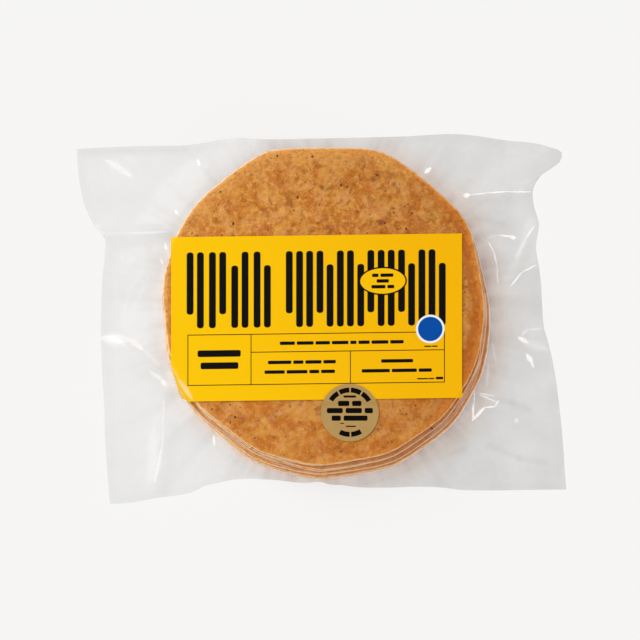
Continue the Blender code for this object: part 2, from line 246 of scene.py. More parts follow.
# A whitened line's width at its ends and how much wider its middle is, and where it fades, as shares
LINE_ENDS = 0.35
LINE_BELLY = 2.6
LINE_FADE = (0.25, 1.25)
CREASE_WANDER = 0.4 * MM
WANDER_LENGTH = 7.0 * MM
CREASE_REACH = 3.2
SWELL_HEIGHT = 0.3 * MM
SWELL_LENGTH = 17.0 * MM
CRINKLE_HEIGHT = 0.12 * MM
CRINKLE_LENGTH = 7.0 * MM
CRINKLE_SHARPNESS = 4
CRINKLE_PATCHES = 31.0 * MM
PUCKER_HEIGHT = 0.3 * MM
PUCKER_COUNT = 9.0
PUCKER_REACH = 7.0 * MM
# Each pattern's own height in the noise
SWELL_LEVEL, CRINKLE_LEVEL, PATCH_LEVEL, PUCKER_LEVEL = 0.3, 4.7, 9.1, 1.7
CLOUD_LEVEL, STREAK_LEVEL = 2.2, 6.0
# How cloudy the film is: where it lies tight on food, in the margins, left and right, the right cloudier as
# painted shade, and along its edges
TIGHT_HAZE = 0.001
MOST_HAZE = 0.95
MARGIN_HAZE_AND_SHADE = (0.10, 0.195)
SHADE_SPAN = 140.0 * MM
CLOUDING = 0.25
CLOUD_SIZE = 12.0 * MM
MARGIN_HAZE_START = 4.0 * MM
SEAL_HAZE = 0.02
LOW_HAZE = 0.02
LOW_HAZE_REACH = 45.0 * MM
SEAL_WIDTH = 5.0 * MM
# Close to the stack the film is cloudier and darker, a painted shadow of the stack, most of all on its shaded
# right
NEAR_SHADOW_HAZE = (0.12, 0.30)
NEAR_REACH = 6.5 * MM
NEAR_SIDES = 0.4
# Where the film leaves the stack, against just outside, and at most
LEAVING_HAZE = 1.2
MOST_LEAVING_HAZE = 0.9
# Soft streaks that fan out from the stack
STREAK_COUNT = 13.0
STREAK_HAZE = 0.12
STREAK_REACH = 14.0 * MM
STREAK_LENGTH = 40.0 * MM
FINER_STREAKS = 2.3
CLEAREST_STREAK = -0.3
# Cloudier strips that darken the film, painted shade along fold valleys and beside folds, and one along the
# top left edge: (start, end, half width, how much)
HAZE_AND_SHADE_STRIPS = [
    (*in_metres((start, end, half_width)), much)
    for start, end, half_width, much in [
        ((-114.0, 74.8), (-66.0, 77.0), 2.6, 0.06),
        ((82.0, -42.8), (88.7, -44.5), 1.3, 0.05),
        ((88.7, -44.5), (97.0, -47.8), 1.5, 0.06),
        ((59.2, -69.1), (66.5, -66.2), 1.4, 0.05),
        ((78.0, -64.6), (91.8, -70.5), 1.6, 0.05),
        ((91.8, -70.5), (104.0, -72.9), 1.5, 0.05),
        ((71.0, 51.0), (88.0, 52.4), 2.8, 0.05),
        ((72.3, 42.6), (86.0, 40.2), 1.4, 0.05),
        ((76.0, 27.0), (77.5, 8.0), 2.0, 0.05),
        ((-70.0, -56.0), (-74.0, -86.0), 3.0, 0.04),
    ]
]
# Pale streaks along the stack's side, a painted highlight of the film there, fewer to the right, and a
# slightly milky shaded side, whose pale coat is painted light
WALL_HAZE_AND_SHEEN = 0.24
WALL_HAZE_START = 0.6 * MM
WALL_STREAKS = 16.0
WALL_STREAK_HEIGHT = MM / 0.9
WALL_STREAK_EDGE = 0.12
WALL_STREAK_SHARPNESS = 3
CLEAR_WALL_SHARE = 0.8
CLEAR_WALL_TURN = 0.3
SHADED_WALL_HAZE_AND_LIGHT = 0.07
SHADED_WALL_TURN = 0.7
SHADED_WALL_EDGE = (2.2, 0.7)
MOST_WALL_HAZE = 0.6
# The film's shine and colours change over these distances beyond the stack
ON_STACK = (0.02 * MM, 0.12 * MM)
SHINE_START = (0.6 * MM, 2.4 * MM)
LEAST_SHINE = 0.014
EDGE_SHINE = (0.15, 0.80)
AT_STACK = (1.0 * MM, 4.2 * MM)
NEAR_STACK = (0.0, 16.0 * MM)

# The card label, its print and the sticker
LABEL_CENTRE = Vector((-2.9 * MM, -5.72 * MM))
LABEL_SIZE = Vector((135.6 * MM, 77.3 * MM))
# The card is cut a little out of square: its long edges rise to the right, and it widens towards its top
LABEL_RISE = 0.0134
LABEL_WIDENING = 0.14
LABEL_CELL = 1.1 * MM
LABEL_BEND_START = 0.6 * MM
LABEL_BEND_RADIUS = 2.2 * MM
STEEPEST_BEND = math.radians(85)
CARD_UNDER = 0.08 * MM
CARD_OVER = 0.42 * MM
INK_DEPTH = 0.02 * MM
FILM_OVER_CARD = 0.52 * MM
FILM_RAMP_START = 0.5 * MM
FILM_RAMP = 2.6 * MM
STICKER_CENTRE = Vector((12.5 * MM, -50.3 * MM))
STICKER_RADIUS = 13.4 * MM
STICKER_THICKNESS = 0.16 * MM
STICKER_LIFT = 0.1 * MM
STICKER_BEND = 0.85
STICKER_RAYS = 128
STICKER_RINGS = 12

# The label's print, in millimetres from the label's middle
HEADING_LOW, HEADING_HIGH = -4.6, 31.3
# Groups of stroke pairs: (left, pairs, pitch)
HEADING_GROUPS = [(-60.5, 4, 10.4), (-14.3, 8, 9.5)]
STROKE_WIDTH = 3.2
STROKE_GAP = 1.6
STROKE_STEP = 6.5
TABLE_LEFT, TABLE_RIGHT = -59.9, 59.6
TABLE_TOP, TABLE_MIDDLE, TABLE_BOTTOM = -7.7, -16.1, -31.2
TABLE_SPLITS = [(-30.5, TABLE_TOP), (15.8, TABLE_MIDDLE)]
RULE_WIDTH = 0.38
OVAL_CENTRE, OVAL_SIZE = (30.9, 16.6), (11.2, 6.7)
OVAL_LINE = 0.7
DISC_CENTRE, DISC_RADIUS, DISC_RING = (53.0, -6.3), 5.7, 6.7
# Lines that stand for words, as plain bars: (from, to, middle, height, bars)
WORD_LINES = [
    (-55.4, -35.3, -16.5, 3.1, 1),
    (-54.0, -36.4, -22.2, 3.1, 1),
    (-17.1, 40.6, -12.1, 1.6, 8),
    (-22.6, 9.0, -21.0, 1.6, 4),
    (-24.2, 8.6, -25.5, 1.6, 4),
    (30.1, 45.0, -21.0, 1.6, 1),
    (21.1, 53.7, -25.5, 1.6, 3),
    (46.9, 54.8, -29.5, 0.6, 2),
    (55.6, 59.0, -29.3, 1.2, 1),
    (50.2, 56.4, -14.4, 0.6, 2),
]
OVAL_WORD_LINES = [
    (25.9, 35.8, 19.3, 1.6, 2),
    (28.0, 33.7, 16.6, 1.6, 1),
    (25.6, 36.2, 13.9, 1.6, 2),
]
# Bars: their uneven lengths against each other, and their gaps and round ends as shares of their height
BAR_LENGTHS = (0.5, 1.5)
BAR_GAP = 0.55
BAR_ROUNDING = 0.55
STROKE_ROUNDING = 0.85
# A corner is rounded by just under half of a side at most, so that two of them don't meet
ROUNDEST = 0.499
ROUND_STEPS = 6
WORD_SEED, OVAL_SEED, STICKER_SEED = 5, 8, 3
RULE_CELL = 1.2 * MM

# The sticker's marks, in millimetres: rows as above, and arcs (from, to, radius, height, bars)
STICKER_LINES = [
    (-2.9, 2.9, 7.4, 1.0, 1),
    (-5.4, 5.4, 4.2, 2.4, 2),
    (-10.6, 10.7, 0.9, 2.4, 3),
    (-8.4, 8.2, -2.6, 2.4, 2),
    (-4.4, -2.6, -5.0, 0.45, 1),
    (-1.8, 2.8, -6.4, 0.6, 1),
]
STICKER_ARCS = [
    (147, 31, 10.4, 2.3, 4),
    (-117, -60, 10.1, 2.3, 2),
]
ARC_GAP = 4
ARC_CELLS = 12
MARK_CELL = 1.0 * MM

# Bran flecks pressed into the top tortilla's face: (place, size) in millimetres, and a scatter of finer ones
BRAN_FLECKS = [
    ((-51.4, -48.6), 1.215), ((-40.6, -52.3), 1.485), ((-42.8, -54.8), 1.35), ((-32.7, -66.7), 1.215),
    ((25.4, 61.9), 1.755), ((29.2, 38.9), 1.755), ((39.1, 36.1), 1.215), ((41.9, 43.6), 1.35),
    ((8.6, 56.9), 1.62), ((-11.8, 51.1), 1.485), ((-42.0, 38.6), 1.62), ((-4.9, 70.7), 1.35),
    ((-21.4, 71.0), 1.215), ((-48.1, 53.8), 1.35), ((50.4, -57.6), 1.485),
]
FINE_FLECKS = 240
FLECK_SIZES = (0.25, 0.6)
FINE_FLECKS_REACH = 0.9
FLECK_LENGTHENING = (0.7, 1.3)
FLECK_NARROWING = (0.6, 1.0)
FLECK_FLATNESS = 0.16
FLECK_LIFT = 0.08 * MM

# The studio
FLOOR_HALF = 1.5
FLOOR_DROP = 0.05 * MM
FLOOR_COLOUR = (0.20, 0.199, 0.197, 1)
FLOOR_GLOW = (1.0, 0.994, 0.985, 1)
FLOOR_GLOW_STRENGTH = 0.72
CAMERA_TARGET = Vector((-1.28 * MM, -7.05 * MM, 18.4 * MM))
CAMERA_ELEVATION = math.radians(82.5)
CAMERA_DISTANCE = 0.9
CAMERA_LENS = 108.637
SENSOR_WIDTH = 36.0
# Soft lights from far away: (direction, how wide each looks in degrees, strength, colour)
LIGHTS = [
    ((-0.62, 0.42, 0.67), 54, 2.48, (1.0, 0.99, 0.975)),
    ((0.66, -0.5, 0.5), 50, 1.08, (0.99, 0.99, 1.0)),
]
SKY = (0.98, 0.985, 1.0, 1.0)
SKY_STRENGTH = 0.30

STACK_HEIGHT = TORTILLA_COUNT * TORTILLA_THICKNESS
TOP_LAYER = TORTILLA_COUNT - 1
MID_LAYER = TORTILLA_COUNT // 2
MID_HEIGHT = FILM_GAP + STACK_HEIGHT / 2
TOP_HEIGHT = STACK_HEIGHT + 2 * FILM_GAP


def smooth(share):
    """0 to 1 with level ends, for a share from 0 to 1."""
    share = min(max(share, 0.0), 1.0)
    return share * share * (3 - 2 * share)


def direction(angle):
    return Vector((math.cos(angle), math.sin(angle)))


def upright(flat, height):
    return Vector((flat.x, flat.y, height))


def round_noise(angle, fineness, level):
    """Noise that changes as it goes round the stack."""
    return noise.noise(upright(direction(angle) * fineness, level))


def between(limits, share):
    low, high = limits
    return low + (high - low) * share


def screen_colour(red, green, blue):
    """A colour given as it looks on screen, 0 to 255 for each part, in the values that shaders take."""

    def linear(part):
        part /= 255
        return part / 12.92 if part <= 0.04045 else ((part + 0.055) / 1.055) ** 2.4

    return (linear(red), linear(green), linear(blue), 1.0)


def tortilla_radius(angle):
    """A tortilla's edge at an angle: a circle, cut smoothly by its flatter sides."""
    total = TORTILLA_RADIUS**-FLAT_SHARPNESS
    for degrees, distance in FLAT_SIDES:
        facing = math.cos(angle - math.radians(degrees))
        if facing > math.cos(FLAT_SIDE_REACH):
            total += (distance / facing) ** -FLAT_SHARPNESS
    return total ** (-1 / FLAT_SHARPNESS)


def layer_unevenness():
    """For each tortilla, the sizes and phases of a few slow waves round its edge."""
    draw = random.Random(SEED)
    waves = range(1, UNEVEN_WAVES + 1)
    return [
        [(draw.uniform(0, UNEVENNESS / wave), draw.uniform(0, math.tau)) for wave in waves]
        for _ in range(TORTILLA_COUNT)
    ]


LAYER_WAVES = layer_unevenness()


def layer_spread(layer, angle):
    """How much further out a tortilla reaches than the top one, from the stack's lean and bulge."""
    half = TORTILLA_COUNT / 2
    depth = min((TORTILLA_COUNT - 1 - layer) / (half - 0.5), 1.0)
    bulge = 1 - abs(layer + 0.5 - half) / (half - 0.5)
    return BULGE * smooth(bulge) + depth * LEAN.dot(direction(angle))


def layer_radius(layer, angle):
    """The edge of one tortilla, counted from 0 at the bottom, with its own slight unevenness."""
    waves = sum(
        size * math.cos(wave * angle + phase)
        for wave, (size, phase) in enumerate(LAYER_WAVES[layer], start=1)
    )
    return tortilla_radius(angle) + layer_spread(layer, angle) + waves


def layer_middle(layer):
    return FILM_GAP + (layer + 0.5) * TORTILLA_THICKNESS


def outline_rays(rays):
    """The ray of each outline point: the nearest free one, in order round the pouch."""
    step = math.tau / rays
    first = math.atan2(POUCH_OUTLINE[0][1], POUCH_OUTLINE[0][0])
    found = []
    for x, y in POUCH_OUTLINE:
        turned = (math.atan2(y, x) - first) % math.tau
        ray = round(first / step) + round(turned / step)
        found.append(max(ray, found[-1] + 1) if found else ray)
    return found


def pouch_edge(rays):
    """The pouch's outline as one point for each ray: a smooth curve through the outline's points."""
    corners, count = outline_rays(rays), len(POUCH_OUTLINE)
    points = [Vector(p) for p in POUCH_OUTLINE]
    spans = [(points[(n + 1) % count] - points[n]).length for n in range(count)]
    slopes = []
    for n in range(count):
        span_in, span_out = spans[n - 1], spans[n]
        run_in = (points[n] - points[n - 1]) / span_in
        run_out = (points[(n + 1) % count] - points[n]) / span_out
        slope = (run_in * span_out + run_out * span_in) / (span_in + span_out)
        slopes.append(Vector((0, 0)) if n in SHARP_CORNERS else slope)
    edge = {}
    for n in range(count):
        following = (n + 1) % count
        last = corners[following] + (0 if following else rays)
        for ray in range(corners[n], last):
            t = (ray - corners[n]) / (last - corners[n])
            edge[ray % rays] = (
                points[n] * (1 - t) ** 2 * (1 + 2 * t)
                + slopes[n] * spans[n] * t * (1 - t) ** 2
                + points[following] * t * t * (3 - 2 * t)
                - slopes[following] * spans[n] * t * t * (1 - t)
            )
    return edge


def away_from_line(place, start, end):
    """How far a place lies from the line between two others."""
    start, end = Vector(start), Vector(end)
    along = end - start
    share = min(max((place - start).dot(along) / along.length_squared, 0.0), 1.0)
    return (place - start - along * share).length


def ridge(place, start, end, half_width):
    """1 on the line from start to end, falling to 0 to its sides and past its ends."""
    away = away_from_line(place, start, end) / half_width
    return math.exp(-away * away) if away < CREASE_REACH else 0.0


def margin_height(place, beyond):
    """The height of the margin's middle at a place that lies this far beyond the stack."""
    height = MID_HEIGHT - MARGIN_DROOP * smooth(beyond / DROOP_REACH)
    facing_front = (-place.normalized().y - FRONT_TUCK_EDGE) / (1 - FRONT_TUCK_EDGE)
    height -= FRONT_TUCK * smooth(beyond / FRONT_TUCK_REACH) * smooth(facing_front)
    across, along = math.tau * place.x / WAVE_LENGTHS[0], math.tau * place.y / WAVE_LENGTHS[1]
    form = WAVE_HEIGHT * math.sin(across) * math.cos(along)
    for corner, rise, reach in CORNER_LIFTS:
        form += rise * math.exp(-(((place - Vector(corner)).length / reach) ** 2))
    for start, end, rise, half_width in FOLDS:
        form += rise * ridge(place, start, end, half_width)
    return max(height + form * smooth(beyond / CREASE_START), FLOOR_CLEARANCE)


def fine_relief(place, beyond):
    """The film's own wrinkles over the margin's form: sharp creases, slow swells, crinkles and puckers."""
    relief = sum(rise * ridge(place, start, end, wide) for start, end, rise, wide in SHARP_CREASES)
    relief += SWELL_HEIGHT * noise.noise(upright(place / SWELL_LENGTH, SWELL_LEVEL))
    crinkle = abs(noise.noise(upright(place / CRINKLE_LENGTH, CRINKLE_LEVEL)))
    patch = smooth(0.5 + 1.5 * noise.noise(upright(place / CRINKLE_PATCHES, PATCH_LEVEL)))
    relief += CRINKLE_HEIGHT * max(1 - crinkle * CRINKLE_SHARPNESS, 0.0) ** 2 * patch
    pucker = noise.noise(upright(place.normalized() * PUCKER_COUNT, PUCKER_LEVEL))
    relief += PUCKER_HEIGHT * pucker * math.exp(-beyond / PUCKER_REACH)
    return relief * smooth(beyond / CREASE_START)


def margin_haze(place, beyond, from_edge):
    """How cloudy the margin's film is at a place, cloudier to the right and near the stack as painted shade.
    """
    shaded = smooth(place.x / SHADE_SPAN + 0.5)
    outward = place.normalized()
    clouds = 1 + CLOUDING * noise.noise(upright(place / CLOUD_SIZE, CLOUD_LEVEL))
    haze = between(MARGIN_HAZE_AND_SHADE, shaded) * smooth(beyond / MARGIN_HAZE_START) * clouds
    near_stack = between(NEAR_SHADOW_HAZE, max(shaded, abs(outward.y) - NEAR_SIDES))
    haze += near_stack * math.exp(-beyond / NEAR_REACH)
    haze += LOW_HAZE * smooth(-place.y / LOW_HAZE_REACH - 1)
    round_stack = outward * STREAK_COUNT
    streak = noise.noise(upright(round_stack, beyond / STREAK_LENGTH))
    streak += 0.5 * noise.noise(upright(round_stack * FINER_STREAKS, STREAK_LEVEL))
    haze += STREAK_HAZE * max(streak, CLEAREST_STREAK) * math.exp(-beyond / STREAK_REACH)
    haze += SEAL_HAZE * smooth(1.5 - from_edge / SEAL_WIDTH)
    for start, end, half_width, much in HAZE_AND_SHADE_STRIPS:
        haze += much * ridge(place, start, end, half_width)
    return min(max(haze, TIGHT_HAZE), MOST_HAZE)


def tight_haze(place, angle):
    """How cloudy the film is where it lies on the stack, with pale streaks of painted highlight and a pale
    coat of painted light on the shaded side.
    """
    depth = smooth((TOP_HEIGHT - WALL_HAZE_START - place.z) / MM)
    streak = round_noise(angle, WALL_STREAKS, place.z / WALL_STREAK_HEIGHT)
    streak = smooth((streak - WALL_STREAK_EDGE) * WALL_STREAK_SHARPNESS)
    clear = 1 - CLEAR_WALL_SHARE * smooth(2 * math.cos(angle + CLEAR_WALL_TURN))
    sharpness, start = SHADED_WALL_EDGE
    shaded = smooth(sharpness * math.cos(angle + SHADED_WALL_TURN) - start)
    haze = TIGHT_HAZE + (WALL_HAZE_AND_SHEEN * clear * streak + SHADED_WALL_HAZE_AND_LIGHT * shaded) * depth
    return min(haze, MOST_WALL_HAZE)


def undulation(flat):
    """The stack's top isn't quite level: how far it dips at a place."""
    return UNDULATION * (noise.noise(upright(flat / UNDULATION_LENGTH, 0.0)) - 1)


def wall_slope(angle):
    """How steeply the film falls from the top tortilla's rim to the margin, as an angle under level."""
    fall = layer_middle(TOP_LAYER) - layer_middle(MID_LAYER)
    return math.atan2(fall, layer_spread(MID_LAYER, angle))


def on_front(flat, lift):
    """Where a point of a flat card comes to lie on the pouch's front, bent over the rim, at this lift."""
    angle = math.atan2(flat.y, flat.x)
    start = tortilla_radius(angle) - LABEL_BEND_START
    beyond = flat.length - start
    if beyond <= 0:
        return upright(flat, TOP_HEIGHT + lift)
    slope = min(wall_slope(angle), STEEPEST_BEND)
    turn = min(beyond / LABEL_BEND_RADIUS, slope)
    straight = beyond - turn * LABEL_BEND_RADIUS
    reach = start + (LABEL_BEND_RADIUS + lift) * math.sin(turn) + straight * math.cos(turn)
    height = TOP_HEIGHT - LABEL_BEND_RADIUS + (LABEL_BEND_RADIUS + lift) * math.cos(turn)
    return upright(direction(angle) * reach, height - straight * math.sin(turn))


def from_label(local):
    """A place on the flat label, measured from its middle, in the part's own axes."""
    return LABEL_CENTRE + Vector((local.x * (1 + LABEL_WIDENING * local.y), local.y + LABEL_RISE * local.x))


def to_label(flat):
    """The reverse of from_label."""
    offset = flat - LABEL_CENTRE
    along = offset.y - LABEL_RISE * offset.x
    return Vector((offset.x / (1 + LABEL_WIDENING * along), along))


def label_cover(flat):
    """1 where the film lies over the card, falling to 0 past the card's edges."""
    local = to_label(flat)
    across = max(abs(local.x) - LABEL_SIZE.x / 2, 0.0)
    along = max(abs(local.y) - LABEL_SIZE.y / 2, 0.0)
    return 1 - smooth((math.hypot(across, along) - FILM_RAMP_START) / FILM_RAMP)


class Amount:
    """A node's output. Arithmetic on it adds the Math nodes that work the result out."""

    def __init__(self, finish, socket):
        self.finish = finish
        self.socket = socket

    def __add__(self, other):
        return self.finish.sum("ADD", self, other)

    def __sub__(self, other):
        return self.finish.sum("SUBTRACT", self, other)

    def __rsub__(self, other):
        return self.finish.sum("SUBTRACT", other, self)

    def __mul__(self, other):
        return self.finish.sum("MULTIPLY", self, other)

    def __truediv__(self, other):
        return self.finish.sum("DIVIDE", self, other)

    def __rtruediv__(self, other):
        return self.finish.sum("DIVIDE", other, self)

    def __pow__(self, other):
        return self.finish.sum("POWER", self, other)

    def __or__(self, other):
        return self.finish.sum("MAXIMUM", self, other)

    def __and__(self, other):
        return self.finish.sum("MINIMUM", self, other)

    __radd__ = __add__
    __rmul__ = __mul__


class Finish:
    """A material as it is put together."""

    def __init__(self, name):
        self.material = bpy.data.materials.new(name)
        self.material.use_nodes = True
        self.tree = self.material.node_tree
        self.tree.nodes.clear()
        self.place = self.node("ShaderNodeTexCoord", out="Object")

    def node(self, kind, settings=None, sockets=None, out=0):
        """Adds a node with its settings, then its sockets' values or links, and gives one of its outputs."""
        made = self.tree.nodes.new(kind)
        for name, value in (settings or {}).items():
            setattr(made, name, value)
        for name, value in (sockets or {}).items():
            if isinstance(value, Amount):
                self.tree.links.new(value.socket, made.inputs[name])
            else:
                made.inputs[name].default_value = value
        return Amount(self, made.outputs[out]) if len(made.outputs) else made

    def sum(self, operation, first, second):
        return self.node("ShaderNodeMath", {"operation": operation}, {0: first, 1: second})

    def attribute(self, name):
        return self.node("ShaderNodeAttribute", {"attribute_name": name}, out="Fac")

    def axis(self, name):
        return self.node("ShaderNodeSeparateXYZ", sockets={0: self.place}, out=name)

    def grain(self, size, detail=2.0, roughness=0.5, distortion=0.0, offset=0.0):
        """Noise from 0 to 1 with features of about this size."""
        sockets = {
            "Vector": self.vector("ADD", self.place, (offset * MM, 0, 0)),
            "Scale": 1 / size,
            "Detail": detail,
            "Roughness": roughness,
            "Distortion": distortion,
        }
        return self.node("ShaderNodeTexNoise", sockets=sockets)

    def cells(self, size):
        """The distance from the nearest of many scattered points, as a share of their spacing."""
        sockets = {"Vector": self.place, "Scale": 1 / size}
        return self.node("ShaderNodeTexVoronoi", {"feature": "F1"}, sockets, "Distance")

    def closeness(self, place, start, end, half_width):
        """1 on a line from start to end, in millimetres, fading to its sides and narrowing to its ends."""
        start, end = Vector((*start, 0)) * MM, Vector((*end, 0)) * MM
        along = end - start
        from_start = self.vector("SUBTRACT", place, start)
        share = self.vector("DOT_PRODUCT", from_start, along / along.length_squared, out="Value")
        share = (share | 0) & 1
        nearest = self.node("ShaderNodeVectorMath", {"operation": "SCALE"}, {0: along, "Scale": share})
        away = self.vector("LENGTH", self.vector("SUBTRACT", from_start, nearest), out="Value")
        width = LINE_ENDS + LINE_BELLY * share * (1 - share)
        return self.fall(away / width, *(fade * half_width * MM for fade in LINE_FADE))

    def vector(self, operation, *values, out=0):
        return self.node("ShaderNodeVectorMath", {"operation": operation}, dict(enumerate(values)), out)

    def rise(self, amount, low, high):
        """0 below low and 1 above high, smooth between."""
        return self.node(
            "ShaderNodeMapRange",
            {"interpolation_type": "SMOOTHSTEP"},
            {"Value": amount, "From Min": low, "From Max": high},
        )

    def fall(self, amount, low, high):
        return 1 - self.rise(amount, low, high)

    def blend(self, share, first, second):
        """A colour between two, by share."""
        return self.node(
            "ShaderNodeMix", {"data_type": "RGBA"}, {"Factor": share, 6: first, 7: second}, out=2
        )

    def bump(self, height, strength, distance):
        return self.node(
            "ShaderNodeBump", sockets={"Strength": strength, "Distance": distance, "Height": height}
        )

    def surface(self, **sockets):
        """The Principled shader, with its sockets given by name."""
        return self.node(
            "ShaderNodeBsdfPrincipled",
            sockets={name.replace("_", " "): value for name, value in sockets.items()},
        )

    def done(self, shader):
        self.node("ShaderNodeOutputMaterial", sockets={"Surface": shader})
        return self.material


def toasted_tortilla():
    """Toasted corn dough: tan with orange-brown patches, a smooth paler rim, fine grain and dark flecks, with
    painted light and shade.
    """
    finish = Finish("toasted_tortilla")
    rise, fall, grain = finish.rise, finish.fall, finish.grain
    # Where a place is: to the right, where shade is painted, towards +Y, towards the upper left, and near the
    # rim
    rim = finish.attribute("rim")
    shade = rise(finish.axis("X"), -70 * MM, 85 * MM)
    right = rise(finish.axis("X"), 35 * MM, 68 * MM)
    high = rise(finish.axis("Y"), -50 * MM, 20 * MM)
    upper = rise(finish.axis("Y") - 0.4 * finish.axis("X"), 10 * MM, 80 * MM)
    lively = 0.6 + 0.4 * high
    # Patterns: size, detail, roughness, distortion and their own place in the noise
    patches = rise(grain(9 * MM, 3.0, 0.55, 0.8), 0.36, 0.62)
    blotches = rise(grain(4.6 * MM, 3.0, 0.6, 0.6, 40), 0.54, 0.70)
    mottle = grain(2.4 * MM, 3.0, 0.6, 0.3, 80)
    grit = grain(0.8 * MM, 2.0, 0.5, 0.0, 120)
    speck = grain(1.5 * MM, 4.0, 0.65, 0.3, 360)
    rosy = rise(grain(6 * MM, 2.0, 0.5, 0.5, 240), 0.42, 0.62)
    flecks = fall(finish.cells(3.4 * MM), 0.06, 0.24) * rise(grain(6 * MM, 1.0, 0.5, 0.0, 160), 0.5, 0.58)
    smudges = fall(finish.cells(8.5 * MM) + 0.14 * (mottle - 0.5), 0.03, 0.25)
    ragged = rim + 0.7 * (grain(13 * MM, 2.0, 0.5, 0.0, 200) - 0.5) + 0.2 * (mottle - 0.5)
    near_rim = fall(ragged, 0.4, 1.1)
    broken = 0.55 + 0.45 * rise(grain(3.2 * MM, 3.0, 0.6, 0.4, 280), 0.42, 0.58)
    side = fall(rim, 0.0, 0.03) * (0.55 + 0.45 * rise(grain(2.2 * MM, 3.0, 0.6, 0.5, 320), 0.36, 0.6))
    straw = screen_colour(244, 186, 94)
    browned = screen_colour(134, 68, 28)
    colour = finish.blend(rosy * 0.55, screen_colour(214, 146, 62), screen_colour(226, 156, 94))
    # Tones laid over each other, first the dough's, then the rim's, then the side's, with painted light and
    # shade among them: (how much, colour)
    tones = [
        (patches * 0.75, screen_colour(190, 100, 12)),
        (rise(mottle, 0.50, 0.66) * 0.45 * lively, straw),
        (fall(mottle, 0.32, 0.46) * 0.4 * lively, browned),
        (blotches * 0.55, browned),
        (rise(grit, 0.54, 0.70) * 0.28 * lively, straw),
        (fall(grit, 0.28, 0.42) * 0.32 * lively, browned),
        (flecks * 0.75, screen_colour(78, 40, 38)),
        (smudges * (0.35 + 0.4 * high), screen_colour(128, 70, 40)),
        # Paler near the rim towards the upper left: painted light
        (fall(ragged, 0.5, 1.5) * upper * 0.4, screen_colour(236, 170, 90)),
        (fall(ragged - 0.5 * right, 0.26, 0.55) * (0.28 + 0.45 * right), screen_colour(188, 98, 16)),
        # A paler rim band: the dough's own and a painted highlight, lighter on the left, darker on the right
        # and stronger towards +Y
        (
            fall(ragged, 0.16, 0.48) * broken * (0.3 + 0.5 * high),
            finish.blend(shade, screen_colour(244, 178, 98), screen_colour(226, 144, 56)),
        ),
        (fall(speck, 0.34, 0.48) * near_rim * 0.5 * lively, browned),
        (rise(speck, 0.54, 0.68) * near_rim * 0.36 * lively, straw),
        # The palest outer edge: a painted highlight on the rim's roll, lighter on the left and stronger
        # towards +Y
        (
            fall(rim, 0.03, 0.16) * rise(mottle, 0.3, 0.6) * (0.25 + 0.6 * high),
            finish.blend(shade, screen_colour(255, 222, 176), screen_colour(240, 186, 128)),
        ),
        # The stack's side: paler as painted light over its shade, and darker to the right as painted shade
        (
            side * (0.9 - 0.2 * high),
            finish.blend(shade, screen_colour(255, 220.6, 169.6), screen_colour(255, 200.4, 141.9)),
        ),
        # Painted shade: darker towards the right, most inside the rim
        (shade * (0.1 + 0.2 * rise(rim, 0.3, 0.8)), screen_colour(120, 62, 20)),
    ]
    for much, tone in tones:
        colour = finish.blend(much, colour, tone)
    relief = mottle * 0.6 + grit * 0.35 + patches * 0.5
    return finish.done(
        finish.surface(
            Base_Color=colour,
            Roughness=0.5 + 0.2 * mottle,
            Specular_IOR_Level=0.12,
            Normal=finish.bump(relief, 0.5, 0.22 * MM),
        )
    )


